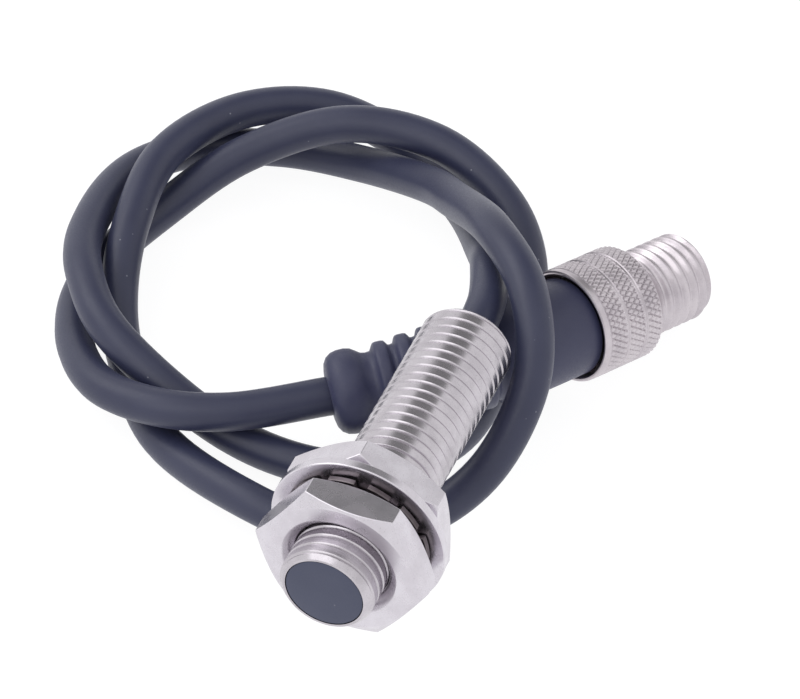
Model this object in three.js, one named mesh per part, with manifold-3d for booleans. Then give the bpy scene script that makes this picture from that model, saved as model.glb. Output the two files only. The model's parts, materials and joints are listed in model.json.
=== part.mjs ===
// An M8 inductive proximity sensor: a threaded barrel with two nuts and two lock
// washers, its electronics inside, and a looped cable that ends in a screw plug.
// Millimetres, +Z up. The origin is the centre of the sensing face, and the
// barrel runs back from it along +Y, level, above the coil of cable.
import * as THREE from "three";
import { mergeVertices } from "three/addons/utils/BufferGeometryUtils.js";
import Module from "manifold-3d";

const wasm = await Module();
wasm.setup();

// ---------------------------------------------------------------- barrel
const barrelDiameter = 8;
const barrelLength = 31.2;
const barrelWall = 0.6;
const barrelChamfer = 0.3;
const slip = 0.1; // radial room between pieces that share an axis
const gap = 0.3; // room between pieces that meet face to face

const barrelRadius = barrelDiameter / 2;
const boreRadius = barrelRadius - barrelWall;

// ---------------------------------------------------------------- sensing end
const capFace = 0.8;
const capWall = 0.35;
const capSkirt = 6;
const coreLength = 2.8;
const corePlate = 0.8;
const postRadius = 1;
const bobbinWall = 0.25;

const capRadius = boreRadius - slip;
const coreRadius = capRadius - capWall - slip;
const coreFront = capFace + slip;
const potRadius = coreRadius - 0.5;
const bobbinFront = coreFront + slip;
const bobbinLength = coreLength - corePlate - 2 * slip;

// ---------------------------------------------------------------- rear end
const bushLength = 4;
const pottingLength = 3;
const wireDiameter = 0.84;
const wireCircle = 1; // radius of the circle that the three wires stand on

const bushFront = barrelLength - bushLength;
const pottingFront = bushFront - gap - pottingLength;
const wireRadius = wireDiameter / 2;

// ---------------------------------------------------------------- circuit board
const boardThickness = 0.6;
const boardMargin = 0.6; // each edge of the board stays this far inside the cap's skirt
const boardFront = coreFront + coreLength + gap;
const boardRear = pottingFront - 3 * gap;
const boardWidth = 2 * (coreRadius - boardMargin);

// ---------------------------------------------------------------- nuts and washers
const acrossFlats = 13;
const nutThickness = 3;
const nutChamferRadius = 6.3;
const nutCountersink = 0.9;
const threadRoom = 0.15; // radial room of a nut or washer over the barrel
const frontNutPlace = 3; // from the sensing face to the front nut's front face
const washerThickness = 0.6;
const rimWasherThickness = 0.8;
const washerDiameter = 13.4;
const rimWasherDiameter = 15;
const outsideTeeth = 12;
const insideTeeth = 10;
const toothDepth = 0.9;

const nutBore = barrelRadius + threadRoom;
const cornerRadius = acrossFlats / 2 / Math.cos(Math.PI / 6);
const frontWasherPlace = frontNutPlace + nutThickness + gap;
const rearWasherPlace = frontWasherPlace + washerThickness + slip;
const rearNutPlace = rearWasherPlace + rimWasherThickness + slip;

// ---------------------------------------------------------------- cable
const cableDiameter = 3.3;
const tableDepth = 14.6; // from the barrel's axis down to the surface that the cable lies on
const cableSides = 8;
const cableSteps = 80;

// ---------------------------------------------------------------- plug
const knurlDiameter = 10;
const knurlLength = 6.8;
const neckLength = 1;
const plugThreadDiameter = 7.7;
const plugThreadLength = 6.15;
const ringBoreDiameter = 6.1;
const collarBoreDiameter = 8.2;
const collarDepth = 3;
const gripDiameter = 8.6;
const bootDiameter = 6.6;
const bootCollarDiameter = 7.2;
const bootCollarLength = 2.9;
const bootRibs = 4;
const bootRibPitch = 1.95;
const bootRibWidth = 1.1;
const pinDiameter = 1;
const pinCircle = 1.6;
const pinCount = 3;

const ringLength = knurlLength + neckLength + plugThreadLength;
const carrierFront = ringLength - 5;
const pinEnd = ringLength - 0.9;

const round = 32; // sides of a round piece
const small = 16; // sides of a small round piece

// A point given by its place in plan and its height above the surface below.
function above(x, y, height) {
  return new THREE.Vector3(x, y, height - tableDepth);
}

// The plug's cable entry, the bend in its boot, and the end of its thread.
const bootEntry = above(-11.7, 29.3, 5.9);
const bootBend = above(0.6, 37.6, 7.7);
const plugTip = above(9.9, 56.4, 3.95);
const bootAxis = bootBend.clone().sub(bootEntry).normalize();
const plugAxis = plugTip.clone().sub(bootBend).normalize();
const ringRear = plugTip.clone().addScaledVector(plugAxis, -ringLength);

// The cable's centre line: out of the barrel, back and down into the coil, two
// and three quarter turns, and up to the plug's boot.
const cableRoute = [
  [0.0, barrelLength + gap, tableDepth],
  [-0.6, 36.9, 14.1],
  [-2.8, 43.1, 11.9],
  [-5.9, 50.1, 6.6],
  [-11.6, 59.3, 2.0],
  [-18.7, 64.5, 2.3],
  [-26.4, 64.8, 4.2],
  [-32.9, 60.1, 5.6],
  [-36.3, 51.3, 6.7],
  [-35.7, 42.5, 6.0],
  [-34.1, 36.1, 3.5],
  [-31.0, 30.7, 1.7],
  [-24.4, 22.9, 1.9],
  [-14.5, 17.7, 3.4],
  [-6.7, 17.4, 2.8],
  [-0.3, 20.3, 3.8],
  [4.2, 25.0, 7.2],
  [5.6, 31.2, 12.4],
  [2.9, 37.3, 16.0],
  [-2.6, 43.5, 15.8],
  [-9.2, 51.6, 10.1],
  [-13.5, 55.8, 7.1],
  [-21.2, 60.1, 3.2],
  [-29.1, 60.6, 2.0],
  [-36.0, 56.9, 2.7],
  [-39.6, 50.2, 4.0],
  [-39.0, 40.6, 5.9],
  [-36.1, 33.9, 6.9],
  [-30.7, 28.5, 6.3],
  [-20.3, 25.3, 2.9],
  [-11.4, 24.2, 2.5],
  [-4.9, 27.2, 2.2],
  [-1.3, 33.9, 1.7],
  [-1.5, 44.8, 1.9],
  [-2.5, 52.0, 3.3],
  [-6.7, 57.4, 5.65],
  [-14.2, 60.5, 7.6],
  [-22.8, 59.6, 7.8],
  [-30.5, 55.5, 5.15],
  [-35.4, 49.1, 2.5],
  [-38.1, 39.7, 2.1],
  [-36.5, 31.9, 2.6],
  [-31.5, 25.2, 4.3],
  [-25.2, 22.8, 5.7],
  [-18.6, 24.2, 6.1],
  [-11.95, 29.1, 5.9],
].map(([x, y, height]) => above(x, y, height));

// ---------------------------------------------------------------- tools
// Turns a profile of [radius, y] pairs about the Y axis. The profile runs out
// along the front, back along the outside and in along the rear.
function turned(profile, sides = round) {
  const points = profile.map(([radius, y]) => new THREE.Vector2(radius, y));
  return new THREE.LatheGeometry(points, sides);
}

function rod(radius, front, rear, sides = round) {
  return turned([[0, front], [radius, front], [radius, rear], [0, rear]], sides);
}

function tube(inner, outer, front, rear, sides = round) {
  return turned([[inner, front], [outer, front], [outer, rear], [inner, rear], [inner, front]], sides);
}

// Extrudes a flat outline, drawn in X and Z, along +Y from front.
function plate(shape, front, thickness, sides = round) {
  const geometry = new THREE.ExtrudeGeometry(shape, {
    depth: thickness,
    bevelEnabled: false,
    curveSegments: sides,
  });
  geometry.rotateX(-Math.PI / 2);
  geometry.translate(0, front, 0);
  return geometry;
}

function disc(radius) {
  const shape = new THREE.Shape();
  shape.absarc(0, 0, radius, 0, 2 * Math.PI, false);
  return shape;
}

// A round plate with count round holes, evenly set on a circle.
function drilledDisc(radius, count, circle, holeRadius) {
  const shape = disc(radius);
  for (const angle of evenAngles(count)) {
    const hole = new THREE.Path();
    hole.absarc(circle * Math.cos(angle), circle * Math.sin(angle), holeRadius, 0, 2 * Math.PI, true);
    shape.holes.push(hole);
  }
  return shape;
}

function evenAngles(count) {
  return Array.from({ length: count }, (_, i) => Math.PI / 2 + (i * 2 * Math.PI) / count);
}

function box(width, length, height, x, front, bottom) {
  const geometry = new THREE.BoxGeometry(width, length, height);
  geometry.translate(x, front + length / 2, bottom + height / 2);
  return geometry;
}

function solidOf(geometry) {
  const bare = geometry.clone();
  bare.deleteAttribute("normal");
  bare.deleteAttribute("uv");
  const merged = mergeVertices(bare, 1e-4);
  return new wasm.Manifold(
    new wasm.Mesh({
      numProp: 3,
      vertProperties: merged.attributes.position.array,
      triVerts: new Uint32Array(merged.index.array),
    }),
  );
}

function geometryOf(solid) {
  const mesh = solid.getMesh();
  const geometry = new THREE.BufferGeometry();
  geometry.setAttribute("position", new THREE.BufferAttribute(new Float32Array(mesh.vertProperties), 3));
  geometry.setIndex(new THREE.BufferAttribute(new Uint32Array(mesh.triVerts), 1));
  geometry.computeVertexNormals();
  return geometry;
}

function joined(geometries) {
  const whole = geometries.map(solidOf).reduce((sum, solid) => sum.add(solid));
  return geometryOf(whole);
}

// ---------------------------------------------------------------- materials
const finishes = {
  nickel: { color: 0xc9c3c6, roughness: 0.28, metalness: 1 },
  steel: { color: 0xb9b4b6, roughness: 0.35, metalness: 1 },
  face: { color: 0x50546a, roughness: 0.6, metalness: 0 },
  jacket: { color: 0x42445a, roughness: 0.55, metalness: 0 },
  grip: { color: 0x3c3e52, roughness: 0.6, metalness: 0 },
  ferrite: { color: 0x3a3636, roughness: 0.8, metalness: 0 },
  nylon: { color: 0xd8d2c0, roughness: 0.5, metalness: 0 },
  copper: { color: 0xb87333, roughness: 0.35, metalness: 1 },
  board: { color: 0x1f5a38, roughness: 0.5, metalness: 0 },
  chip: { color: 0x202124, roughness: 0.6, metalness: 0 },
  ceramic: { color: 0xb99c74, roughness: 0.6, metalness: 0 },
  resin: { color: 0x2c2d33, roughness: 0.4, metalness: 0 },
  gold: { color: 0xd4af5a, roughness: 0.25, metalness: 1 },
  brown: { color: 0x6b4226, roughness: 0.5, metalness: 0 },
  blue: { color: 0x2855a8, roughness: 0.5, metalness: 0 },
  black: { color: 0x1c1c1e, roughness: 0.5, metalness: 0 },
};

function piece(name, geometry, finish) {
  const mesh = new THREE.Mesh(geometry, new THREE.MeshStandardMaterial(finishes[finish]));
  mesh.name = name;
  return mesh;
}

// ---------------------------------------------------------------- barrel and its ends
function barrel() {
  const chamferRadius = barrelRadius - barrelChamfer;
  return turned([
    [boreRadius, 0],
    [chamferRadius, 0],
    [barrelRadius, barrelChamfer],
    [barrelRadius, barrelLength - barrelChamfer],
    [chamferRadius, barrelLength],
    [boreRadius, barrelLength],
    [boreRadius, 0],
  ]);
}

function sensingCap() {
  const inside = capRadius - capWall;
  return turned([
    [0, 0],
    [capRadius, 0],
    [capRadius, capSkirt],
    [inside, capSkirt],
    [inside, capFace],
    [0, capFace],
  ]);
}

function ferriteCore() {
  const rear = coreFront + coreLength;
  const floor = rear - corePlate;
  return turned([
    [0, coreFront],
    [postRadius, coreFront],
    [postRadius, floor],
    [potRadius, floor],
    [potRadius, coreFront],
    [coreRadius, coreFront],
    [coreRadius, rear],
    [0, rear],
  ]);
}

function bobbin() {
  const inner = postRadius + slip;
  const outer = potRadius - slip;
  const hub = inner + bobbinWall;
  const rear = bobbinFront + bobbinLength;
  return turned([
    [inner, bobbinFront],
    [outer, bobbinFront],
    [outer, bobbinFront + bobbinWall],
    [hub, bobbinFront + bobbinWall],
    [hub, rear - bobbinWall],
    [outer, rear - bobbinWall],
    [outer, rear],
    [inner, rear],
    [inner, bobbinFront],
  ]);
}

function senseCoil() {
  const inner = postRadius + slip + bobbinWall + slip / 2;
  const outer = potRadius - 2 * slip;
  const front = bobbinFront + bobbinWall + slip / 2;
  const rear = bobbinFront + bobbinLength - bobbinWall - slip / 2;
  return tube(inner, outer, front, rear);
}

function circuitBoard() {
  return box(boardWidth, boardRear - boardFront, boardThickness, 0, boardFront, -boardThickness / 2);
}

// A part soldered on the board's upper face, with its middle at share of the board's length.
function onBoard(width, length, height, x, share) {
  const middle = boardFront + share * (boardRear - boardFront);
  return box(width, length, height, x, middle - length / 2, boardThickness / 2 + slip / 2);
}

function pottingPlug() {
  const holes = drilledDisc(boreRadius - slip, 3, wireCircle, wireRadius + slip);
  return plate(holes, pottingFront, pottingLength, 12);
}

function rearBush() {
  return tube(wireCircle + wireRadius + slip, boreRadius - slip, bushFront, barrelLength);
}

function wire(angle) {
  const geometry = rod(wireRadius, boardRear + gap, barrelLength - slip, 12);
  geometry.translate(wireCircle * Math.cos(angle), 0, -wireCircle * Math.sin(angle));
  return geometry;
}

// ---------------------------------------------------------------- nuts and washers
// A hexagon prism met by a bored disc with its edges turned down at 30 degrees.
function nut(front, turnDegrees) {
  const rear = front + nutThickness;
  const outer = cornerRadius + slip;
  const slope = (outer - nutChamferRadius) * Math.tan(Math.PI / 6);
  const sink = nutBore + nutCountersink;
  const blank = turned([
    [nutBore, front + nutCountersink / 2],
    [sink, front],
    [nutChamferRadius, front],
    [outer, front + slope],
    [outer, rear - slope],
    [nutChamferRadius, rear],
    [sink, rear],
    [nutBore, rear - nutCountersink / 2],
    [nutBore, front + nutCountersink / 2],
  ]);
  const prism = new THREE.CylinderGeometry(cornerRadius, cornerRadius, nutThickness, 6);
  prism.rotateY(THREE.MathUtils.degToRad(turnDegrees));
  prism.translate(0, front + nutThickness / 2, 0);
  return geometryOf(solidOf(blank).intersect(solidOf(prism)));
}

// The outline of a ring's edge that steps between two radii, high for share of each tooth.
function toothedEdge(teeth, high, low, share) {
  const step = (2 * Math.PI) / teeth;
  const outline = [];
  for (let i = 0; i < teeth; i++) {
    const start = i * step;
    const middle = start + share * step;
    outline.push(onCircle(high, start), onCircle(high, middle));
    outline.push(onCircle(low, middle), onCircle(low, start + step));
  }
  return outline;
}

// The front lock washer has its teeth outside, and the rear one inside.
function frontWasher() {
  const outer = washerDiameter / 2;
  const shape = new THREE.Shape(toothedEdge(outsideTeeth, outer, outer - toothDepth, 0.7));
  shape.holes.push(new THREE.Path(disc(nutBore + slip).getPoints(round).reverse()));
  return plate(shape, frontWasherPlace, washerThickness);
}

function rearWasher() {
  const inner = nutBore + slip;
  const shape = new THREE.Shape(disc(rimWasherDiameter / 2).getPoints(40));
  shape.holes.push(new THREE.Path(toothedEdge(insideTeeth, inner + toothDepth, inner, 0.5).reverse()));
  return plate(shape, rearWasherPlace, rimWasherThickness);
}

function onCircle(radius, angle) {
  return new THREE.Vector2(radius * Math.cos(angle), radius * Math.sin(angle));
}

// ---------------------------------------------------------------- cable
function along(points, radius, sides, steps) {
  const path = new THREE.CatmullRomCurve3(points, false, "catmullrom", 0.5);
  return new THREE.ExtrudeGeometry(disc(radius), {
    extrudePath: path,
    steps,
    curveSegments: sides,
    bevelEnabled: false,
  });
}

function cableJacket() {
  return along(cableRoute, cableDiameter / 2, cableSides, cableSteps);
}

// ---------------------------------------------------------------- plug
// Turns a piece that was made along +Y so that it runs along axis from place.
function placed(geometry, place, axis) {
  const turn = new THREE.Quaternion().setFromUnitVectors(new THREE.Vector3(0, 1, 0), axis);
  geometry.applyQuaternion(turn);
  geometry.translate(place.x, place.y, place.z);
  return geometry;
}

// The knurled ring with the plug's outside thread. Its length runs from y = 0.
function couplingRing() {
  const knurl = knurlDiameter / 2;
  const thread = plugThreadDiameter / 2;
  const neck = thread - 0.3;
  const bore = ringBoreDiameter / 2;
  const collar = collarBoreDiameter / 2;
  const threadStart = knurlLength + neckLength;
  const rim = 0.25;
  return turned([
    [collar, 0],
    [knurl - 0.5, 0],
    [knurl, 0.5],
    [knurl, knurlLength - 0.3],
    [knurl - 0.3, knurlLength],
    [neck, knurlLength],
    [neck, threadStart],
    [thread, threadStart + rim],
    [thread, ringLength - rim],
    [thread - rim, ringLength],
    [bore, ringLength],
    [bore, collarDepth],
    [collar, collarDepth],
    [collar, 0],
  ]);
}

// The insulating body that holds the pins, with the flange that keeps the ring on.
function contactCarrier() {
  const bodyRadius = ringBoreDiameter / 2 - slip;
  const flangeRadius = collarBoreDiameter / 2 - 2 * slip;
  const flangeFront = collarDepth - gap - 1;
  const shape = drilledDisc(bodyRadius, pinCount, pinCircle, pinDiameter / 2 + slip);
  const flange = drilledDisc(flangeRadius, pinCount, pinCircle, pinDiameter / 2 + slip);
  return joined([
    plate(shape, flangeFront, carrierFront - flangeFront, 12),
    plate(flange, flangeFront, 1, 12),
  ]);
}

function contactPin(angle) {
  const radius = pinDiameter / 2;
  const geometry = turned(
    [
      [0, collarDepth],
      [radius, collarDepth],
      [radius, pinEnd - radius],
      [radius / 2, pinEnd],
      [0, pinEnd],
    ],
    12,
  );
  geometry.translate(pinCircle * Math.cos(angle), 0, -pinCircle * Math.sin(angle));
  return geometry;
}

// The moulding on the cable's end: a collar, a ribbed boot that bends, the grip
// and a nose that stands inside the ring.
function mouldedGrip() {
  const bootRadius = bootDiameter / 2;
  const noseRadius = collarBoreDiameter / 2 - 2 * slip;
  const noseLength = collarDepth - 2 * gap - 1 - gap;
  const gripFront = ringRear.clone().addScaledVector(plugAxis, -gap);
  const gripStart = bootBend.clone().addScaledVector(plugAxis, 1.5);
  const gripLength = gripFront.distanceTo(gripStart);
  const boot = along(
    [
      bootEntry,
      bootEntry.clone().addScaledVector(bootAxis, 6),
      bootBend.clone().addScaledVector(bootAxis, -3.5),
      bootBend.clone().lerp(bootBend.clone().addScaledVector(plugAxis, 3.5).addScaledVector(bootAxis, -3.5), 0.25),
      bootBend.clone().addScaledVector(plugAxis, 3.5),
      gripFront,
    ],
    bootRadius,
    small,
    14,
  );
  const collar = turned(
    [
      [0, 0],
      [bootRadius, 0],
      [bootCollarDiameter / 2, 0.6],
      [bootCollarDiameter / 2, bootCollarLength],
      [0, bootCollarLength],
    ],
    small,
  );
  const ribs = Array.from({ length: bootRibs }, (_, i) => {
    const share = (i + 1) / bootRibs;
    const radius = bootCollarDiameter / 2 + share * (gripDiameter / 2 - 0.3 - bootCollarDiameter / 2);
    const start = bootCollarLength + (i + 0.6) * bootRibPitch;
    return placed(rod(radius, start, start + bootRibWidth, small), bootEntry, bootAxis);
  });
  return joined([
    boot,
    placed(collar, bootEntry, bootAxis),
    ...ribs,
    placed(rod(gripDiameter / 2, 0, gripLength, 24), gripStart, plugAxis),
    placed(rod(noseRadius, gripLength - 1, gripLength + gap + noseLength, 24), gripStart, plugAxis),
  ]);
}

// ---------------------------------------------------------------- assembly
const sensor = new THREE.Group();
sensor.name = "proximity_sensor";

sensor.add(
  piece("sensor_barrel", barrel(), "nickel"),
  piece("sensing_face_cap", sensingCap(), "face"),
  piece("ferrite_core", ferriteCore(), "ferrite"),
  piece("coil_bobbin", bobbin(), "nylon"),
  piece("sense_coil", senseCoil(), "copper"),
  piece("circuit_board", circuitBoard(), "board"),
  piece("oscillator_chip", onBoard(2.4, 3.2, 0.9, 0, 0.25), "chip"),
  piece("output_transistor", onBoard(1.5, 2.6, 0.8, 0.3, 0.5), "chip"),
  piece("smoothing_capacitor", onBoard(1.2, 2, 0.9, -0.5, 0.7), "ceramic"),
  piece("set_resistor", onBoard(0.8, 1.5, 0.4, 0.5, 0.87), "chip"),
  piece("potting_plug", pottingPlug(), "resin"),
  piece("rear_bush", rearBush(), "face"),
);
const wireColours = ["brown", "blue", "black"];
evenAngles(wireColours.length).forEach((angle, i) => {
  sensor.add(piece("wire_" + wireColours[i], wire(angle), wireColours[i]));
});

sensor.add(
  piece("front_nut", nut(frontNutPlace, 36), "nickel"),
  piece("front_washer", frontWasher(), "steel"),
  piece("rear_washer", rearWasher(), "steel"),
  piece("rear_nut", nut(rearNutPlace, 57), "nickel"),
  piece("cable_jacket", cableJacket(), "jacket"),
  piece("moulded_grip", mouldedGrip(), "grip"),
);

const plug = new THREE.Group();
plug.name = "plug";
plug.position.copy(ringRear);
plug.quaternion.setFromUnitVectors(new THREE.Vector3(0, 1, 0), plugAxis);
plug.add(
  piece("coupling_ring", couplingRing(), "nickel"),
  piece("contact_carrier", contactCarrier(), "chip"),
);
evenAngles(pinCount).forEach((angle, i) => {
  plug.add(piece("contact_pin_" + (i + 1), contactPin(angle), "gold"));
});
sensor.add(plug);

export default sensor;
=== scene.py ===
# %% [markdown]
# An M8 inductive proximity sensor lies on a white table: a threaded barrel with
# two nuts and two lock washers, and a cable in loose loops that ends in a screw
# plug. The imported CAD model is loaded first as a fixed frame. Every piece made
# here is in metres in that frame, so it needs no fitting.

# %% Load the frame
import json
from math import atan2, cos, pi, radians, sin

import bmesh
import bpy
from mathutils import Matrix, Vector


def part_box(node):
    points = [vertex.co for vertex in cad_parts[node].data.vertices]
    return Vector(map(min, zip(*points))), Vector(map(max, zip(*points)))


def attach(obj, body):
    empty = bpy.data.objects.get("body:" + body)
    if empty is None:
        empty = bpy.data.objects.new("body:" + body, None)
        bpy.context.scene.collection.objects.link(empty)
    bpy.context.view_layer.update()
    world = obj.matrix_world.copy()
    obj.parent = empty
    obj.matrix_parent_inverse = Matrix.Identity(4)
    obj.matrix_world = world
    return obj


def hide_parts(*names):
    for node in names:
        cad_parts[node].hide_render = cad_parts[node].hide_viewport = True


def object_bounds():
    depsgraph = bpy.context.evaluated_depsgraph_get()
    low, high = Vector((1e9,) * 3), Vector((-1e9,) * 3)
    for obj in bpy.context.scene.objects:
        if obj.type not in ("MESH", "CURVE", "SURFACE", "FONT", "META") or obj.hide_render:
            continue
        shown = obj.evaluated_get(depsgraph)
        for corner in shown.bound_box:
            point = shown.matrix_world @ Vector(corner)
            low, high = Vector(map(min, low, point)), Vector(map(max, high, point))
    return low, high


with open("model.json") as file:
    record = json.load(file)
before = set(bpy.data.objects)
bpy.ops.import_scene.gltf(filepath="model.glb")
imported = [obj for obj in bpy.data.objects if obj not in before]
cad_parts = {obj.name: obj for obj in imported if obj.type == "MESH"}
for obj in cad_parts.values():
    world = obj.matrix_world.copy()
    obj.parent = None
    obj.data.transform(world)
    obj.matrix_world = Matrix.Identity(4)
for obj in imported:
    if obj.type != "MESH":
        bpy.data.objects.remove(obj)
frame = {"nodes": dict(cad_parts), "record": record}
cad_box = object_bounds()
MM = 0.001
print("CAD box in mm:", [round(v / MM, 1) for corner in cad_box for v in corner])

# %% [markdown]
# The camera stands in front of the sensing face, a little to its left, and looks
# down at 43.5 degrees. It could stand close with a short lens, but then the barrel
# would taper. This one is far away with a long lens, so its sides stay parallel.

# %% Camera
AZIMUTH = radians(22.0)
ELEVATION = radians(43.5)
DISTANCE = 500 * MM
AIM = Vector((-2.24, 21.63, 6.76)) * MM
LENS = 278.3  # focal length in millimetres, on a sensor 36 mm wide

forward = Vector((-sin(AZIMUTH) * cos(ELEVATION), cos(AZIMUTH) * cos(ELEVATION), -sin(ELEVATION)))
camera_data = bpy.data.cameras.new("camera")
camera_data.lens = LENS
camera_data.clip_start = 0.01
camera = bpy.data.objects.new("camera", camera_data)
camera.location = AIM - DISTANCE * forward
camera.rotation_euler = forward.to_track_quat("-Z", "Y").to_euler()
bpy.context.scene.collection.objects.link(camera)
bpy.context.scene.camera = camera
print("camera at, in mm:", [round(v / MM, 1) for v in camera.location], "with lens", LENS)

# %% [markdown]
# The helpers below are used by every piece. A round piece is a profile of
# [radius, distance along the axis] pairs in millimetres, spun about the Y axis
# with bmesh, because the barrel, the nuts and the washers all sit on that axis. It
# could start from cylinders too, but a profile holds all its sizes in one place.
# Edges that turn sharply are marked sharp, and the rest are shaded smooth.


# %% Helpers for pieces
ROUND_STEPS = 96  # flat sides of a round piece
WELD = 1e-6  # vertices closer than this, in metres, become one


def spun(profile, steps=ROUND_STEPS, closed=True):
    """A bmesh made by turning a profile of (radius, y) in millimetres about Y."""
    bm = bmesh.new()
    verts = [bm.verts.new((0, y * MM, r * MM)) for r, y in profile]
    edges = [bm.edges.new(pair) for pair in zip(verts, verts[1:])]
    if closed:
        edges.append(bm.edges.new((verts[-1], verts[0])))
    bmesh.ops.spin(
        bm, geom=verts + edges, cent=(0, 0, 0), axis=(0, 1, 0),
        dvec=(0, 0, 0), angle=2 * pi, steps=steps, use_merge=True, use_duplicate=False,
    )
    bmesh.ops.remove_doubles(bm, verts=bm.verts, dist=WELD)
    bmesh.ops.recalc_face_normals(bm, faces=bm.faces)
    return bm


def finished(name, bm, body, material, stands_for=(), sharp=32):
    """Makes the bmesh an object, shades it, ties it to its body, and hides the CAD nodes it stands
    for.

    An edge that turns by more than sharp degrees is shaded as a corner.
    """
    for face in bm.faces:
        face.smooth = True
    for edge in bm.edges:
        edge.smooth = edge.is_boundary or edge.calc_face_angle(0) < radians(sharp)
    mesh = bpy.data.meshes.new(name)
    bm.to_mesh(mesh)
    bm.free()
    mesh.materials.append(material)
    piece = bpy.data.objects.new(name, mesh)
    bpy.context.scene.collection.objects.link(piece)
    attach(piece, body)
    if stands_for:
        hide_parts(*stands_for)
    print(name, "has", len(mesh.polygons), "faces")
    return piece


def softened(piece, width, angle=30):
    """Rounds edges that turn by more than the angle, so that they catch the light."""
    bevel = piece.modifiers.new("rounded_edges", "BEVEL")
    bevel.width = width * MM
    bevel.segments = 2
    bevel.limit_method = "ANGLE"
    bevel.angle_limit = radians(angle)


print("a round piece has", ROUND_STEPS, "sides")

# %% [markdown]
# Materials are node graphs. One small function adds a node with its settings and
# links, and another turns the hex colours of a paint card into linear light.


# %% Helpers for materials
def linear(hex_colour):
    """An sRGB hex colour as linear RGBA."""
    channels = [int(hex_colour[i : i + 2], 16) / 255 for i in (1, 3, 5)]
    return [c / 12.92 if c <= 0.04045 else ((c + 0.055) / 1.055) ** 2.4 for c in channels] + [1]


def add(tree, kind, inputs=None, **settings):
    """Adds a node, sets its properties, and fills or links its inputs."""
    node = tree.nodes.new(kind)
    for name, value in settings.items():
        setattr(node, name, value)
    for name, value in (inputs or {}).items():
        if isinstance(value, bpy.types.NodeSocket):
            tree.links.new(value, node.inputs[name])
        else:
            node.inputs[name].default_value = value
    return node


def new_material(name):
    """An empty material and its node tree."""
    material = bpy.data.materials.new(name)
    material.use_nodes = True
    material.node_tree.nodes.clear()
    return material, material.node_tree


def ramp(tree, factor, stops):
    """A colour ramp with stops of (position, linear colour)."""
    node = add(tree, "ShaderNodeValToRGB", {"Fac": factor})
    elements = node.color_ramp.elements
    while len(elements) < len(stops):
        elements.new(0.5)
    for element, (position, colour) in zip(elements, stops):
        element.position = position
        element.color = colour
    return node.outputs["Color"]


def grey(value):
    """A grey as linear RGBA."""
    return [value, value, value, 1]


def finish(tree, shader):
    """Links the shader to the material's output."""
    add(tree, "ShaderNodeOutputMaterial", {"Surface": shader.outputs[0]})


print("#808080 in linear light:", round(linear("#808080")[0], 3))

# %% [markdown]
# Nickel plate on turned brass is the look of the barrel, the nuts and the plug's
# ring: a warm grey metal, bright but not a mirror. The tool leaves fine rings, and
# handling leaves soft cloudy patches where the shine is duller. The plating is a
# little darker in its pores than on the surface. Painted maps could carry all that,
# but patterns in the object's own space need no unwrapping, so nodes make them.


# %% Nickel plate
CLOUD_MM = 2.2  # width of a dull patch
PORE_MM = 0.12  # width of a pore


def nickel_plate(name, ring_mm, colour="#c6c1c7", dull="#b4afb5", roughness=0.22):
    """Plated metal with tool rings that far apart, cloudy patches and dark pores."""
    material, tree = new_material(name)
    place = add(tree, "ShaderNodeTexCoord").outputs["Object"]
    clouds = add(
        tree, "ShaderNodeTexNoise",
        {"Vector": place, "Scale": 1 / (CLOUD_MM * MM), "Detail": 5.0, "Roughness": 0.6},
    ).outputs["Fac"]
    pores = add(
        tree, "ShaderNodeTexNoise",
        {"Vector": place, "Scale": 1 / (PORE_MM * MM), "Detail": 3.0, "Roughness": 0.7},
    ).outputs["Fac"]
    # At scale 1 the bands of a wave texture are pi / 10 apart.
    rings = add(
        tree, "ShaderNodeTexWave",
        {"Vector": place, "Scale": pi / 10 / (ring_mm * MM), "Distortion": 1.5,
         "Detail": 2.0, "Detail Scale": 4.0},
        wave_type="BANDS", bands_direction="Y",
    ).outputs["Fac"]
    tint = ramp(tree, clouds, [(0.3, linear(dull)), (0.62, linear(colour))])
    speck = ramp(tree, pores, [(0.28, grey(0.72)), (0.42, grey(1))])
    base = add(
        tree, "ShaderNodeMix", {0: 1.0, 6: tint, 7: speck},
        data_type="RGBA", blend_type="MULTIPLY",
    )
    shine = add(
        tree, "ShaderNodeMapRange",
        {"Value": clouds, "From Min": 0.3, "From Max": 0.7,
         "To Min": roughness + 0.1, "To Max": roughness - 0.04},
    ).outputs["Result"]
    marks = add(
        tree, "ShaderNodeBump",
        {"Height": rings, "Strength": 0.12, "Distance": 0.01 * MM},
    ).outputs["Normal"]
    grain = add(
        tree, "ShaderNodeBump",
        {"Height": pores, "Normal": marks, "Strength": 0.15, "Distance": 0.01 * MM},
    ).outputs["Normal"]
    shader = add(
        tree, "ShaderNodeBsdfPrincipled",
        {"Base Color": base.outputs[2], "Metallic": 1.0, "Roughness": shine, "Normal": grain},
    )
    finish(tree, shader)
    return material


# Real tool marks are about 0.08 mm apart. They are drawn coarser here, so that they show.

# A cut thread under bright nickel: crisp bands of light and dark along each crest.
# Its base colour is painted darker than the nuts' nickel, as painted shade.
BARREL_NICKEL_PAINTED_DARKER = nickel_plate("nickel_plated_brass_thread_painted_darker", 0.2827)
# Faced and chamfered flats under the same nickel, with broad even reflections. The base
# colour is painted paler than the barrel's, as painted light.
NUT_NICKEL_PAINTED_PALER = nickel_plate("nickel_plated_brass_nut_painted_paler", 0.5027, "#d6d2d9", "#cbc6cd", 0.24)
# Knurled and rolled metal: the plate looks satin, because the tool leaves no flat places.
RING_NICKEL = nickel_plate("nickel_plated_brass_knurl", 0.3456, "#cbc4c9", "#bbb4ba", 0.32)
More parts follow.
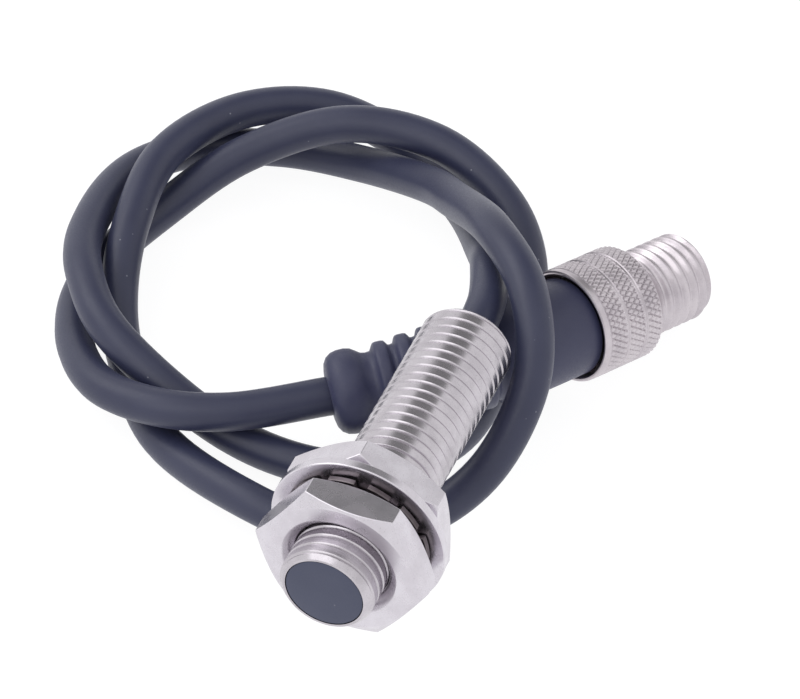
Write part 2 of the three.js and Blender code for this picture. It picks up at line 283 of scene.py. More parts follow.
# Stamped and hardened steel with only a dull shine. Its dark grey is partly the steel's own
# and partly painted shade, for the narrow gap between the nuts where the front washer sits.
DARK_STEEL_AND_PAINTED_SHADE = nickel_plate("stamped_spring_steel_with_painted_shade", 0.6283, "#7d7679", "#5d5557", 0.4)
print("metals:", BARREL_NICKEL_PAINTED_DARKER.name, NUT_NICKEL_PAINTED_PALER.name, RING_NICKEL.name, DARK_STEEL_AND_PAINTED_SHADE.name)

# %% [markdown]
# The cable's jacket and the plug's grip are soft polyurethane: a matte slate blue
# that turns pale where it curves away, which a little sheen gives. Its skin has a
# fine grain from the die, uneven patches of colour, and specks of pale dust. The
# dust could be real grains, but specks in the colour cost nothing and look the same.


# %% Soft plastic
PATCH_MM = 6  # width of a patch of colour
DUST_MM = 1.9  # from one speck of dust to the next


def soft_plastic(name, colour, light, roughness, grain_mm, dust=0.5):
    """Matte plastic with two close colours in patches, a grain, and pale dust."""
    material, tree = new_material(name)
    place = add(tree, "ShaderNodeTexCoord").outputs["Object"]
    patches = add(
        tree, "ShaderNodeTexNoise",
        {"Vector": place, "Scale": 1 / (PATCH_MM * MM), "Detail": 4.0, "Roughness": 0.55},
    ).outputs["Fac"]
    grain = add(
        tree, "ShaderNodeTexNoise",
        {"Vector": place, "Scale": 1 / (grain_mm * MM), "Detail": 4.0, "Roughness": 0.65},
    ).outputs["Fac"]
    specks = add(
        tree, "ShaderNodeTexVoronoi",
        {"Vector": place, "Scale": 1 / (DUST_MM * MM), "Randomness": 1.0},
    ).outputs["Distance"]
    dust_mask = ramp(tree, specks, [(0.0, grey(dust)), (0.05, grey(0))])
    tint = ramp(tree, patches, [(0.3, linear(colour)), (0.75, linear(light))])
    dusty = add(
        tree, "ShaderNodeMix", {0: dust_mask, 6: tint, 7: linear("#b9bac6")}, data_type="RGBA"
    )
    shine = add(
        tree, "ShaderNodeMapRange",
        {"Value": grain, "From Min": 0.35, "From Max": 0.65,
         "To Min": roughness - 0.06, "To Max": roughness + 0.08},
    ).outputs["Result"]
    skin = add(
        tree, "ShaderNodeBump",
        {"Height": grain, "Strength": 0.35, "Distance": 0.02 * MM},
    ).outputs["Normal"]
    shader = add(
        tree, "ShaderNodeBsdfPrincipled",
        {"Base Color": dusty.outputs[2], "Roughness": shine, "Normal": skin,
         "IOR": 1.48, "Sheen Weight": 0.12, "Sheen Roughness": 0.4,
         "Sheen Tint": linear("#a9acc4")},
    )
    finish(tree, shader)
    return material


# Extruded jacket: the smoothest of the three, with a long soft highlight.
JACKET = soft_plastic("polyurethane_jacket", "#272a42", "#30334a", 0.42, 0.16)
# Moulded grip: the same plastic, a little duller from the mould's etched surface.
GRIP = soft_plastic("polyurethane_grip", "#2b2d48", "#353751", 0.46, 0.2, 0.35)
# Hard moulded cap: greyer and quite matte, and the dust shows most on its flat disc.
FACE = soft_plastic("moulded_face_plastic", "#3a3e53", "#414559", 0.58, 0.12, 0.9)
print("plastics:", JACKET.name, GRIP.name, FACE.name)

# %% [markdown]
# The pieces inside are hidden by the barrel, but each still gets the finish of
# its real material: sintered ferrite, nylon, enamelled copper, green solder mask,
# moulded epoxy, ceramic, potting resin and wire insulation. They keep their CAD
# shapes, because those are already as detailed as a hidden piece needs.


# %% Finishes of the pieces inside
def plain_finish(name, dark, light, grain_mm, roughness, metallic=0.0):
    """One colour with a grain that varies it a little and roughens the surface."""
    material, tree = new_material(name)
    place = add(tree, "ShaderNodeTexCoord").outputs["Object"]
    grain = add(
        tree, "ShaderNodeTexNoise",
        {"Vector": place, "Scale": 1 / (grain_mm * MM), "Detail": 4.0},
    ).outputs["Fac"]
    bump = add(
        tree, "ShaderNodeBump",
        {"Height": grain, "Strength": 0.3, "Distance": 0.01 * MM},
    ).outputs["Normal"]
    shader = add(
        tree, "ShaderNodeBsdfPrincipled",
        {"Base Color": ramp(tree, grain, [(0.35, linear(dark)), (0.65, linear(light))]),
         "Roughness": roughness, "Metallic": metallic, "Normal": bump},
    )
    finish(tree, shader)
    return material


# Ferrite, epoxy and ceramic are dull and gritty, resin and solder mask are glossy, and
# enamelled copper and gold plate are the only metals.
INSIDE = {
    "ferrite": plain_finish("sintered_ferrite", "#2a2727", "#3f3a39", 0.15, 0.8),
    "nylon": plain_finish("natural_nylon", "#cfc8b2", "#dcd6c4", 0.3, 0.5),
    "copper": plain_finish("enamelled_copper", "#9c5524", "#c98048", 0.1, 0.3, 1.0),
    "board": plain_finish("green_solder_mask", "#154a2c", "#22633c", 0.4, 0.35),
    "black_moulding": plain_finish("moulded_epoxy", "#1b1c1f", "#26272b", 0.1, 0.6),
    "capacitor": plain_finish("barium_titanate_ceramic", "#a98a60", "#bf9f74", 0.2, 0.6),
    "resin": plain_finish("potting_resin", "#26272e", "#30313a", 0.5, 0.3),
    "wire_brown": plain_finish("brown_wire_insulation", "#5f3a20", "#6f4629", 0.3, 0.45),
    "wire_blue": plain_finish("blue_wire_insulation", "#24499a", "#2e57ad", 0.3, 0.45),
    "wire_black": plain_finish("black_wire_insulation", "#17171a", "#222226", 0.3, 0.45),
    "gold": plain_finish("gold_plated_contact", "#c99c45", "#dbb565", 0.08, 0.22, 1.0),
}
hidden = [part for part in frame["record"]["subparts"] if part["material_slot"] in INSIDE]
for part in hidden:
    node = frame["nodes"][part["node"]]
    node.data.materials.clear()
    node.data.materials.append(INSIDE[part["material_slot"]])
print(len(hidden), "CAD pieces have the finish of their material")

# %% [markdown]
# The cable is one length of 3.3 mm cable. It leaves the barrel, drops behind it,
# makes two and three quarter turns on the table, and climbs to the plug's boot.
# The points are the route that the CAD tube follows: the place in plan and the
# height above the table.

# %% Cable route
TABLE = -14.6  # the table's height under the barrel's axis, in millimetres
CABLE_DIAMETER = 3.3
BARREL_LENGTH = 31.2
CABLE_ROUTE = [
    (0.0, 31.5, 14.6), (-0.6, 36.9, 14.1), (-2.8, 43.1, 11.9), (-5.9, 50.1, 6.6),
    (-11.6, 59.3, 2.0), (-18.7, 64.5, 2.3), (-26.4, 64.8, 4.2), (-32.9, 60.1, 5.6),
    (-36.3, 51.3, 6.7), (-35.7, 42.5, 6.0), (-34.1, 36.1, 3.5), (-31.0, 30.7, 1.7),
    (-24.4, 22.9, 1.9), (-14.5, 17.7, 3.4), (-6.7, 17.4, 2.8), (-0.3, 20.3, 3.8),
    (4.2, 25.0, 7.2), (5.6, 31.2, 12.4), (2.9, 37.3, 16.0), (-2.6, 43.5, 15.8),
    (-9.2, 51.6, 10.1), (-13.5, 55.8, 7.1), (-21.2, 60.1, 3.2), (-29.1, 60.6, 2.0),
    (-36.0, 56.9, 2.7), (-39.6, 50.2, 4.0), (-39.0, 40.6, 5.9), (-36.1, 33.9, 6.9),
    (-30.7, 28.5, 6.3), (-20.3, 25.3, 2.9), (-11.4, 24.2, 2.5), (-4.9, 27.2, 2.2),
    (-1.3, 33.9, 1.7), (-1.5, 44.8, 1.9), (-2.5, 52.0, 3.3), (-6.7, 57.4, 5.65),
    (-14.2, 60.5, 7.6), (-22.8, 59.6, 7.8), (-30.5, 55.5, 5.15), (-35.4, 49.1, 2.5),
    (-38.1, 39.7, 2.1), (-36.5, 31.9, 2.6), (-31.5, 25.2, 4.3), (-25.2, 22.8, 5.7),
    (-18.6, 24.2, 6.1), (-11.95, 29.1, 5.9),
]


def above(x, y, height):
    """A point given by its place in plan and its height above the table."""
    return Vector((x, y, height + TABLE)) * MM


route = [above(*point) for point in CABLE_ROUTE]
# The CAD tube stops 0.3 mm short at both ends. This cable runs on into the bush and the boot.
INTO_BUSH = 0.8
INTO_BOOT = 1.5
in_bush = above(0, BARREL_LENGTH - INTO_BUSH, -TABLE)
in_boot = route[-1] + (route[-1] - route[-2]).normalized() * INTO_BOOT * MM
route = [in_bush] + route + [in_boot]
print("the cable's route has", len(route), "points")

# %% [markdown]
# A round bar could be spun along the route step by step, but a Bezier curve with a
# round bevel is simpler: its handles are set so that it passes smoothly through
# every point, and its length can be measured.


# %% Cable
def bezier_through(name, points, diameter):
    """A round curve through the points, with Catmull-Rom handles."""
    curve = bpy.data.curves.new(name, "CURVE")
    curve.dimensions = "3D"
    curve.resolution_u = 10
    curve.bevel_depth = diameter / 2 * MM
    curve.bevel_resolution = 8
    curve.use_fill_caps = True
    spline = curve.splines.new("BEZIER")
    spline.bezier_points.add(len(points) - 1)
    ends = [2 * points[0] - points[1]] + points + [2 * points[-1] - points[-2]]
    for i, knot in enumerate(spline.bezier_points):
        along = (ends[i + 2] - ends[i]) / 6
        knot.co = points[i]
        knot.handle_left_type = knot.handle_right_type = "FREE"
        knot.handle_left = points[i] - along
        knot.handle_right = points[i] + along
    return curve


cable_curve = bezier_through("cable", route, CABLE_DIAMETER)
cable_curve.materials.append(JACKET)
cable = bpy.data.objects.new("cable", cable_curve)
bpy.context.scene.collection.objects.link(cable)
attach(cable, "sensor")
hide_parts("cable_jacket")

# %% [markdown]
# The barrel and the plug both carry an M8 thread. Stacked rings would look much the
# same from afar, but a real thread is a helix, so one tooth's profile is spun about
# the axis while it climbs one pitch a turn, and the turns are welded to each other.
# The two ends are then cut flat, turned down to a small chamfer, and closed with a
# bore. One turn is spun and copied, because a spin gets slow as its mesh grows.


# %% Helpers for threads
THREAD_STEPS = 64
TURN_WELD = 0.004  # in millimetres, and smaller than any step of a tooth's profile
BORE_WELD = 0.002
ON_PLANE = 1e-8  # a vertex this near a cutting plane, in metres, counts as on it


def helix(tooth, pitch, turns, start):
    """The outside skin of a thread: one turn spun while it climbs, and then repeated."""
    bm = bmesh.new()
    verts = [bm.verts.new((0, (start + y * pitch) * MM, r * MM)) for r, y in tooth]
    edges = [bm.edges.new(pair) for pair in zip(verts, verts[1:])]
    bmesh.ops.spin(
        bm, geom=verts + edges, cent=(0, 0, 0), axis=(0, 1, 0),
        dvec=(0, pitch * MM / THREAD_STEPS, 0), angle=2 * pi, steps=THREAD_STEPS,
        use_merge=False, use_duplicate=False,
    )
    one_turn = bm.verts[:] + bm.edges[:] + bm.faces[:]
    for turn in range(1, turns):
        copy = bmesh.ops.duplicate(bm, geom=one_turn)["geom"]
        moved = [g for g in copy if isinstance(g, bmesh.types.BMVert)]
        bmesh.ops.translate(bm, vec=(0, turn * pitch * MM, 0), verts=moved)
    bmesh.ops.remove_doubles(bm, verts=bm.verts, dist=TURN_WELD * MM)
    return bm


def cut_flat(bm, y, outward):
    """Cuts the mesh at y, throws away what lies outward, and returns the open edge."""
    cut = bmesh.ops.bisect_plane(
        bm, geom=bm.verts[:] + bm.edges[:] + bm.faces[:], dist=ON_PLANE,
        plane_co=(0, y * MM, 0), plane_no=(0, outward, 0), clear_outer=True,
    )
    return [g for g in cut["geom_cut"] if isinstance(g, bmesh.types.BMEdge)]


def turned_down(bm, limit):
    """Brings every vertex within the radius that limit gives at its place along Y."""
    for vert in bm.verts:
        radius = Vector((vert.co.x, vert.co.z)).length
        allowed = limit(vert.co.y / MM) * MM
        if radius > allowed:
            vert.co.x *= allowed / radius
            vert.co.z *= allowed / radius


def ring_edge(bm, edges, radius, y):
    """Extrudes an open edge to a circle of that radius at y, and returns the new edge."""
    made = bmesh.ops.extrude_edge_only(bm, edges=edges)["geom"]
    for vert in [g for g in made if isinstance(g, bmesh.types.BMVert)]:
        flat = Vector((vert.co.x, vert.co.z)).normalized() * radius * MM
        vert.co = Vector((flat.x, y * MM, flat.y))
    return [g for g in made if isinstance(g, bmesh.types.BMEdge)]


def threaded_tube(tooth, pitch, start, end, chamfer, bore):
    """A tube with an outside thread, cut flat and chamfered at both ends."""
    turns = int((end - start) / pitch) + 3
    bm = helix(tooth, pitch, turns, start - 1.5 * pitch)
    front = cut_flat(bm, start, -1)
    rear = cut_flat(bm, end, 1)
    crest = max(r for r, _ in tooth)
    turned_down(bm, lambda y: crest - max(0, chamfer - min(y - start, end - y)))
    inner_front = ring_edge(bm, front, bore, start)
    inner_rear = ring_edge(bm, rear, bore, end)
    bmesh.ops.bridge_loops(bm, edges=inner_front + inner_rear)
    bmesh.ops.remove_doubles(bm, verts=bm.verts, dist=BORE_WELD * MM)
    bmesh.ops.recalc_face_normals(bm, faces=bm.faces)
    open_edges = sum(1 for edge in bm.edges if edge.is_boundary)
    print("threaded tube:", len(bm.faces), "faces,", open_edges, "open edges")
    return bm


# %% [markdown]
# The barrel is turned from brass bar and threaded along its whole length, with a
# pitch of 1 mm. Its crests are wide and flat, and the narrow grooves between them
# are what the eye reads as thread.

# %% Threaded barrel
PITCH = 1.0
THREAD_CREST = 3.985
THREAD_ROOT = 3.8
BARREL_BORE = 3.36
BARREL_CHAMFER = 0.42
TOOTH = [  # (radius, place along one pitch)
    (THREAD_ROOT, 0.0), (THREAD_ROOT + 0.01, 0.05), (THREAD_CREST - 0.04, 0.13),
    (THREAD_CREST, 0.18), (THREAD_CREST, 0.83), (THREAD_CREST - 0.04, 0.88),
    (THREAD_ROOT + 0.01, 0.96), (THREAD_ROOT, 1.0),
]
finished(
    "threaded_barrel",
    threaded_tube(TOOTH, PITCH, 0.0, BARREL_LENGTH, BARREL_CHAMFER, BARREL_BORE),
    "sensor", BARREL_NICKEL_PAINTED_DARKER, ["sensor_barrel"], sharp=26,
)

# %% [markdown]
# The sensing face is the flat front of a moulded cap pressed into the barrel, and
# the cable leaves through a soft bush at the other end. Of the cap only the disc
# shows, inside the barrel's thin metal rim. A disc alone would do for that, but a
# spun cup with a small round edge looks right from close by, and is a whole piece.

# %% Sensing face and rear bush
CAP_RADIUS = 3.3
cap_profile = [
    (0, 0.0), (2.0, 0.0), (CAP_RADIUS - 0.12, 0.0), (CAP_RADIUS - 0.03, 0.03), (CAP_RADIUS, 0.12),
    (CAP_RADIUS, 6.0), (2.95, 6.0), (2.95, 0.8), (0, 0.8),
]
finished(
    "sensing_face", spun(cap_profile, closed=False), "sensor", FACE,
    ["sensing_face_cap"],
)
bush_profile = [
    (1.68, 27.3), (CAP_RADIUS, 27.3), (CAP_RADIUS, BARREL_LENGTH - 0.1),
    (CAP_RADIUS - 0.2, BARREL_LENGTH), (2.3, BARREL_LENGTH), (1.95, BARREL_LENGTH - 0.08),
    (1.72, BARREL_LENGTH - 0.3),
]
finished("cable_bush", spun(bush_profile), "sensor", GRIP, ["rear_bush"])

# %% [markdown]
# A thin nut is a hexagon 13 mm across its flats. A six-sided prism would be quick,
# but it has no chamfers. So each nut starts as a round blank, spun with its bore,
# countersinks and sloping rims, and six planes cut the flats. That gives the curved
# edges that a real chamfered nut has.

# %% Nuts
ACROSS_FLATS = 13.0
NUT_THICKNESS = 3.0
CORNER_RADIUS = ACROSS_FLATS / 2 / cos(radians(30)) + 0.02
CORNER_SLOPE = 0.7  # how far the sloping rim comes down each corner
FACE_RADIUS = 6.3
COUNTERSINK_RADIUS = 4.95
NUT_ROOT = 4.12  # the nut's inside thread, in the grooves and on the crests
NUT_CREST = 4.02
NUT_STEPS = 144


def hexagon_nut(name, body, node, front, corner_angle):
    """A chamfered nut whose first corner stands at corner_angle from +X towards +Z."""
    rear = front + NUT_THICKNESS
    profile = [
        (NUT_ROOT, front + 0.75), (COUNTERSINK_RADIUS - 0.2, front + 0.12),
        (COUNTERSINK_RADIUS, front), (FACE_RADIUS, front),
        (CORNER_RADIUS, front + CORNER_SLOPE), (CORNER_RADIUS, rear - CORNER_SLOPE),
        (FACE_RADIUS, rear), (COUNTERSINK_RADIUS, rear),
        (COUNTERSINK_RADIUS - 0.2, rear - 0.12), (NUT_ROOT, rear - 0.75),
        (NUT_CREST, rear - 1.0), (NUT_ROOT, rear - 1.25), (NUT_CREST, rear - 1.5),
        (NUT_ROOT, rear - 1.75), (NUT_CREST, rear - 2.0),
    ]
    bm = spun(profile, NUT_STEPS)
    for i in range(6):
        angle = radians(corner_angle + 30 + 60 * i)
        across = Vector((cos(angle), 0, sin(angle)))
        cut = bmesh.ops.bisect_plane(
            bm, geom=bm.verts[:] + bm.edges[:] + bm.faces[:], dist=ON_PLANE,
            plane_co=across * ACROSS_FLATS / 2 * MM, plane_no=across, clear_outer=True,
        )
        rim = [g for g in cut["geom_cut"] if isinstance(g, bmesh.types.BMEdge)]
        bmesh.ops.holes_fill(bm, edges=rim, sides=0)
    bmesh.ops.recalc_face_normals(bm, faces=bm.faces)
    nut = finished(name, bm, body, NUT_NICKEL_PAINTED_PALER, [node], sharp=20)
    softened(nut, 0.05, angle=20)


front_nut_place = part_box("front_nut")[0].y / MM
rear_nut_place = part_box("rear_nut")[0].y / MM
hexagon_nut("front_hexagon_nut", "front_nut", "front_nut", front_nut_place, 54)
hexagon_nut("rear_hexagon_nut", "rear_nut", "rear_nut", rear_nut_place, 33)

# %% [markdown]
# Each lock washer is stamped from spring steel. The front one is bare and has teeth
# round its outside, each twisted a little so that it bites. The rear one is plated
# like the nuts, and has a plain rim and teeth inside. A ring is spun with enough
# steps that whole steps make the gaps between the teeth, and the gaps are pressed
# in. A boolean could cut each gap, but moving vertices keeps the mesh clean.

# %% Lock washers
WASHER_STEPS = 240
WASHER_BORE = 4.25
FRONT_WASHER_RADIUS = 6.35
REAR_WASHER_RADIUS = 7.5
WAVE_ROOM = 0.05  # left free at both faces of the front washer for its twisted teeth


def ring_profile(inner, outer, front, rear, edge=0.06):
    """The section of a flat ring with small chamfers and a line of vertices halfway out."""
    return [
        (inner, front + edge), (inner + edge, front), ((inner + outer) / 2, front),
        (outer - edge, front), (outer, front + edge), (outer, rear - edge),
        (outer - edge, rear), ((inner + outer) / 2, rear), (inner + edge, rear),
        (inner, rear - edge),
    ]


def pressed_teeth(bm, teeth, share, moves, middle, twist):
    """Makes gaps between a ring's teeth, and twists each tooth.

    A negative move draws the outside of the ring in, and a positive one pushes its
    bore out. Only vertices on that side of the middle radius move.
    """
    for vert in bm.verts:
        radius = Vector((vert.co.x, vert.co.z)).length
        turn = (atan2(vert.co.z, vert.co.x) / (2 * pi) * teeth) % 1
        if (radius > middle * MM) != (moves < 0):
            continue
        if turn > share:
            vert.co.x *= (radius + moves * MM) / radius
            vert.co.z *= (radius + moves * MM) / radius
        else:
            vert.co.y += twist * MM * (turn / share - 0.5)
    return bm


front_washer_low, front_washer_high = (corner.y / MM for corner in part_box("front_washer"))
rear_washer_low, rear_washer_high = (corner.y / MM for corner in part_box("rear_washer"))
front_section = ring_profile(
    WASHER_BORE, FRONT_WASHER_RADIUS, front_washer_low + WAVE_ROOM, front_washer_high - WAVE_ROOM
)
front_ring = spun(front_section, WASHER_STEPS)
pressed_teeth(front_ring, teeth=12, share=0.7, moves=-0.9, middle=5.9, twist=0.1)
# The front washer's dark grey is partly its steel and partly painted shade from the gap between the
# nuts.
softened(
    finished("outside_tooth_washer", front_ring, "front_washer",
             DARK_STEEL_AND_PAINTED_SHADE, ["front_washer"], sharp=35),
    0.04,
)
rear_section = ring_profile(WASHER_BORE, REAR_WASHER_RADIUS, rear_washer_low, rear_washer_high)
rear_ring = spun(rear_section, WASHER_STEPS)
pressed_teeth(rear_ring, teeth=10, share=0.5, moves=0.9, middle=5.0, twist=0.0)
softened(
    finished("inside_tooth_washer", rear_ring, "rear_washer",
             NUT_NICKEL_PAINTED_PALER, ["rear_washer"], sharp=35),
    0.04,
)

# %% [markdown]
# The plug's own axis runs from the bend in its boot to the end of its thread. Its
# round pieces could be spun about that axis at once, but their sizes would be hard
# to read. So they are spun about Y like the others, and then turned and moved on to
# the plug's axis, with y = 0 at the ring's rear face.

# %% Plug axis
BOOT_ENTRY = above(-11.7, 29.3, 5.9)
BOOT_BEND = above(0.6, 37.6, 7.7)
PLUG_TIP = above(9.9, 56.4, 3.95)
RING_LENGTH = 13.95
boot_axis = (BOOT_BEND - BOOT_ENTRY).normalized()
plug_axis = (PLUG_TIP - BOOT_BEND).normalized()
ring_rear = PLUG_TIP - plug_axis * RING_LENGTH * MM
TURN_TO_PLUG = Vector((0, 1, 0)).rotation_difference(plug_axis).to_matrix().to_4x4()
ON_PLUG = Matrix.Translation(ring_rear) @ TURN_TO_PLUG


def on_plug(bm):
    """Moves a piece spun about Y to its place on the plug's axis."""
    bmesh.ops.transform(bm, matrix=ON_PLUG, verts=bm.verts)
    return bm


print("the plug points along", [round(v, 3) for v in plug_axis])

# %% [markdown]
# The ring's grip is a diamond knurl in three bands: two sets of slanting grooves
# pressed into the metal, which leave small raised diamonds. A bump pattern could
# draw them, but the outline would stay smooth. So the ring is spun fine enough to
# hold them, and each vertex of a band is pressed in by how near it lies to a groove.

# %% Knurled ring
KNURL_RADIUS = 5.0
KNURL_LENGTH = 6.8
KNURL_LINES = 54
KNURL_SLANT = 0.95  # millimetres along the ring for one step round it
KNURL_DEPTH = 0.14
GROOVE_REACH = 0.2  # how far a groove reaches, as a share of the step between two
RING_STEPS = 540
ROW_SPACING = 0.065  # between two rows of vertices along a band
BANDS = [(0.7, 2.55), (2.9, 4.65), (5.0, 6.6)]


def groove_distance(turns):
    """How far a place lies from the nearest groove, from 0 on it to 0.5 between two."""
    return 0.5 - abs(turns % 1 - 0.5)


def knurled(bm):
    """Presses the slanting grooves into the bands of the ring."""
    for vert in bm.verts:
        radius = Vector((vert.co.x, vert.co.z)).length
        y = vert.co.y / MM
        if radius < (KNURL_RADIUS - 0.05) * MM or not any(a < y < b for a, b in BANDS):
            continue
        turn = atan2(vert.co.z, vert.co.x) / (2 * pi) * KNURL_LINES
        near = min(groove_distance(turn + y / KNURL_SLANT), groove_distance(turn - y / KNURL_SLANT))
        press = KNURL_DEPTH * (1 - min(near / GROOVE_REACH, 1)) * MM
        vert.co.x *= (radius - press) / radius
        vert.co.z *= (radius - press) / radius
    return bm


def knurl_profile():
    """The ring's outside from its rear lip to its front face, and its plain bore."""
    outline = [
        (4.4, 0.5), (4.58, 0.14), (4.7, 0.02), (4.82, 0.02), (4.94, 0.12),
        (KNURL_RADIUS - 0.01, 0.28), (KNURL_RADIUS, 0.6),
    ]
    for start, end in BANDS:
        outline.append((KNURL_RADIUS - 0.1, start - 0.08))
        steps = round((end - start) / ROW_SPACING)
        outline += [(KNURL_RADIUS, start + (end - start) * i / steps) for i in range(steps + 1)]
        outline.append((KNURL_RADIUS - 0.1, end + 0.08))
    outline += [(KNURL_RADIUS - 0.2, KNURL_LENGTH), (3.2, KNURL_LENGTH), (3.2, 3.0)]
    outline += [(4.36, 3.0), (4.36, 0.7)]
    return outline


finished(
    "knurled_ring", on_plug(knurled(spun(knurl_profile(), RING_STEPS))), "coupling_ring",
    RING_NICKEL, ["coupling_ring"], sharp=28,
)

# %% [markdown]
# In front of the knurl a smooth neck leads to the plug's outside thread, rounded
# by rolling. It is made in the same way as the barrel's, with a softer tooth.

# %% Plug thread
PLUG_THREAD_START = 7.75
PLUG_CHAMFER = 0.35
PLUG_BORE = 3.05
PLUG_TOOTH = [  # (radius, place along one pitch)
    (3.42, 0.0), (3.41, 0.1), (3.5, 0.22), (3.72, 0.36), (3.82, 0.46), (3.85, 0.56),
    (3.82, 0.66), (3.72, 0.76), (3.5, 0.9), (3.42, 1.0),
]
neck_profile = [(3.1, 6.7), (3.62, 6.7), (3.62, 7.62), (3.55, 7.8), (3.1, 7.8)]
finished("plug_neck", on_plug(spun(neck_profile)), "coupling_ring", RING_NICKEL)
plug_tube = threaded_tube(
    PLUG_TOOTH, PITCH, PLUG_THREAD_START, RING_LENGTH, PLUG_CHAMFER, PLUG_BORE
)
finished(
    "plug_thread", on_plug(plug_tube), "coupling_ring", RING_NICKEL, sharp=50,
)

# %% [markdown]
# Inside the thread stands the black contact carrier with its three gold pins, a
# third of a turn apart. A pin is a spun rod with a rounded tip, and one loop makes
# all three, so that they are alike.

# %% Contact carrier and pins
PINS = 3
PIN_CIRCLE = 1.6
PIN_STEPS = 24
carrier_profile = [
    (0, 1.7), (3.9, 1.7), (3.9, 2.7), (2.95, 2.7), (2.95, 8.7), (2.8, 8.95),
    (2.45, 8.95), (2.4, 8.8), (0, 8.8),
]
finished(
    "carrier", on_plug(spun(carrier_profile, closed=False)), "sensor",
    INSIDE["black_moulding"], ["contact_carrier"],
)
pin_profile = [(0, 8.6), (0.5, 8.6), (0.5, 12.5), (0.42, 12.8), (0.28, 13.0), (0, 13.05)]
for i in range(PINS):
    number = i + 1
    pin = spun(pin_profile, PIN_STEPS, closed=False)
    angle = pi / 2 + i * 2 * pi / PINS
    place = (PIN_CIRCLE * cos(angle) * MM, 0, -PIN_CIRCLE * sin(angle) * MM)
    bmesh.ops.translate(pin, vec=place, verts=pin.verts)
    finished(
        f"pin_{number}", on_plug(pin), "sensor", INSIDE["gold"], [f"contact_pin_{number}"]
    )

# %% [markdown]
# The grip and its strain relief are one soft moulding over the cable's end: a
# rounded collar, a waist, ribs that let it bend, and a plain grip that goes into
# the ring. A curve modifier could bend it, but the path is only a straight, a short
# curve and a straight. So it is spun straight, and each vertex is then carried
# along the path from the cable's entry, round the bend, to the ring.

# %% Moulded grip
ENTRY_TO_BEND = (BOOT_BEND - BOOT_ENTRY).length / MM
BEND_TO_RING = (ring_rear - BOOT_BEND).length / MM
BEND_REACH = 4.5
BEND_START = ENTRY_TO_BEND - BEND_REACH
BEND_END = ENTRY_TO_BEND + BEND_REACH
GRIP_RADIUS = 4.3
GRIP_END = ENTRY_TO_BEND + BEND_TO_RING + 0.25
GRIP_STEPS = 64
RIBS_START = 4.35
RIB_PITCH = 1.95
RIBS = 5


def grip_profile():
    """The collar, the waist, the ribs and the plain grip, from the cable's entry."""
    outline = [
        (0, 0.0), (2.2, 0.0), (2.75, 0.12), (3.2, 0.4), (3.5, 0.85), (3.62, 1.4), (3.62, 2.0),
        (3.5, 2.5), (3.2, 2.95), (2.95, 3.3), (2.86, 3.7), (2.9, 4.1),
    ]
    for i in range(RIBS):
        start = RIBS_START + i * RIB_PITCH
        crest = 3.55 + 0.17 * i
        valley = crest - 0.5
        outline += [
            (crest - 0.22, start), (crest - 0.05, start + 0.14), (crest, start + 0.34),
            (crest, start + 0.84), (crest - 0.06, start + 1.06), (crest - 0.25, start + 1.2),
            (valley + 0.04, start + 1.34), (valley, start + 1.5), (valley + 0.05, start + 1.78),
        ]
    smooth_start = RIBS_START + RIBS * RIB_PITCH
    outline += [(4.1, smooth_start), (4.22, smooth_start + 0.15), (GRIP_RADIUS, smooth_start + 0.5)]
    plain = round(GRIP_END - smooth_start - 0.8)
    step = (GRIP_END - smooth_start - 0.7) / plain
    outline += [(GRIP_RADIUS, smooth_start + 0.5 + (i + 1) * step) for i in range(plain)]
    outline += [(GRIP_RADIUS - 0.08, GRIP_END), (0, GRIP_END)]
    return outline


def bend_place(along):
    """The point on the grip's path at a distance from the cable's entry, and its heading."""
    if along <= BEND_START:
        return BOOT_ENTRY + boot_axis * along * MM, boot_axis
    if along >= BEND_END:
        return BOOT_BEND + plug_axis * (along - ENTRY_TO_BEND) * MM, plug_axis
    share = (along - BEND_START) / (BEND_END - BEND_START)
    start = BOOT_ENTRY + boot_axis * BEND_START * MM
    end = BOOT_BEND + plug_axis * (BEND_END - ENTRY_TO_BEND) * MM
    place = start.lerp(BOOT_BEND, share).lerp(BOOT_BEND.lerp(end, share), share)
    return place, boot_axis.lerp(plug_axis, share).normalized()


def bent(bm):
    """Carries a straight spun piece along the grip's path."""
    straight = Vector((0, 1, 0)).rotation_difference(boot_axis)
    for vert in bm.verts:
        place, heading = bend_place(vert.co.y / MM)
        across = straight @ Vector((vert.co.x, 0, vert.co.z))
        vert.co = place + boot_axis.rotation_difference(heading) @ across
    bmesh.ops.recalc_face_normals(bm, faces=bm.faces)
    return bm


finished(
    "grip_and_boot", bent(spun(grip_profile(), GRIP_STEPS, closed=False)), "sensor",
    GRIP, ["moulded_grip"], sharp=60,
)

# %% [markdown]
# The cable is soft on the real object, and so it could be laid in other ways. This
# lists the pieces that hang on its far end.

plug_pieces = ["grip_and_boot", "knurled_ring", "plug_neck", "plug_thread", "carrier"]
plug_pieces += [f"pin_{i + 1}" for i in range(PINS)]
print(len(plug_pieces), "pieces hang on the cable")

# %% [markdown]
# The studio starts with a white light table. A plain white floor would turn grey
# where the light is weak, so this one glows, and the shadows almost wash out.

# %% White table
TABLE_HALF_WIDTH = 3.0
TABLE_GAP = 0.02  # under the lowest point of the model, in millimetres


def white_table():
    """Lit white plastic: it glows, and takes only a faint shadow."""
    material, tree = new_material("white_table")
    glow = add(tree, "ShaderNodeEmission", {"Color": linear("#ffffff"), "Strength": 0.92})
    paint = add(tree, "ShaderNodeBsdfDiffuse", {"Color": linear("#6a6a6c")})
    finish(tree, add(tree, "ShaderNodeAddShader", {0: glow.outputs[0], 1: paint.outputs[0]}))
    return material


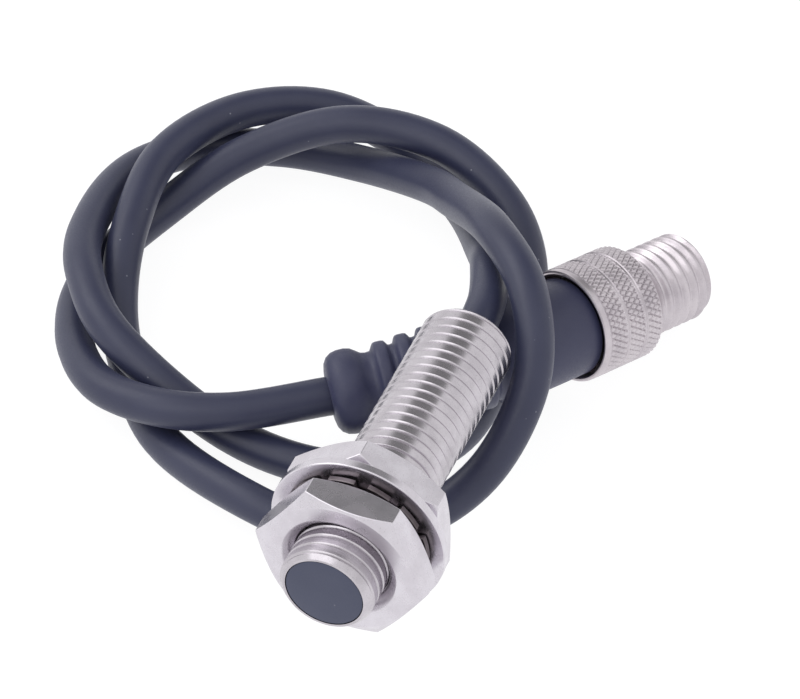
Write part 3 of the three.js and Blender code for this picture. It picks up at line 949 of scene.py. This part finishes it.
table_mesh = bmesh.new()
table_height = cad_box[0].z - TABLE_GAP * MM
bmesh.ops.create_grid(table_mesh, x_segments=1, y_segments=1, size=TABLE_HALF_WIDTH)
bmesh.ops.translate(table_mesh, vec=(0, 0, table_height), verts=table_mesh.verts)
table_data = bpy.data.meshes.new("table")
table_mesh.to_mesh(table_data)
table_mesh.free()
table_data.materials.append(white_table())
table = bpy.data.objects.new("table", table_data)
bpy.context.scene.collection.objects.link(table)
print("table height in mm:", round(table_height / MM, 2))

# %% [markdown]
# A white tent stands round the table. Metal shows what is around it, so in an all
# white tent it would look like chalk. One darker panel high behind the sensor gives
# round metal its soft dark band. It could be a real board, but a ramp over the
# direction of the sky makes the same reflection and casts no shadow.

# %% Tent
PANEL_WAY = Vector((0.0, 0.67, 0.74)).normalized()
PANEL_FADE = 0.915  # cosine of the angle from the panel's middle to where it starts
PANEL_EDGE = 0.952  # and to where it is at its darkest
PANEL_GREY = 0.25
world = bpy.data.worlds.new("tent")
bpy.context.scene.world = world
world.use_nodes = True
sky = world.node_tree
sky.nodes.clear()
heading = add(sky, "ShaderNodeTexCoord").outputs["Generated"]
toward_panel = add(
    sky, "ShaderNodeVectorMath", {0: heading, 1: PANEL_WAY}, operation="DOT_PRODUCT"
).outputs["Value"]
shades = [(PANEL_FADE, grey(1.0)), (PANEL_EDGE, grey(PANEL_GREY)), (1.0, grey(PANEL_GREY))]
tent = ramp(sky, toward_panel, shades)
backdrop = add(sky, "ShaderNodeBackground", {"Color": tent, "Strength": 1.0})
add(sky, "ShaderNodeOutputWorld", {"Surface": backdrop.outputs[0]})
print("tent with a panel of grey", PANEL_GREY)

# %% [markdown]
# Two round soft boxes, one at the left and one in front, put bright highlights on
# the metal and the cable. They are wide and not strong, because small strong lights
# make hard white spikes on a thread.

# %% Soft boxes
MODEL_MIDDLE = Vector((-0.01, 0.03, -0.005))
BOX_DISTANCE = 0.5


def soft_box(name, way, size, power):
    """A round area light that shines at the middle of the model."""
    data = bpy.data.lights.new(name, "AREA")
    data.shape = "DISK"
    data.size = size
    data.energy = power
    lamp = bpy.data.objects.new(name, data)
    lamp.location = MODEL_MIDDLE + Vector(way).normalized() * BOX_DISTANCE
    lamp.rotation_euler = (-Vector(way)).to_track_quat("-Z", "Y").to_euler()
    bpy.context.scene.collection.objects.link(lamp)
    print(name, "is", size, "m wide and gives", power, "W")


soft_box("left_box", (-1.0, 0.1, 0.9), size=0.35, power=0.5)
soft_box("front_box", (-0.5, -0.9, 1.1), size=0.45, power=0.45)
bpy.context.scene.view_settings.view_transform = "Standard"
bpy.context.scene.view_settings.look = "None"
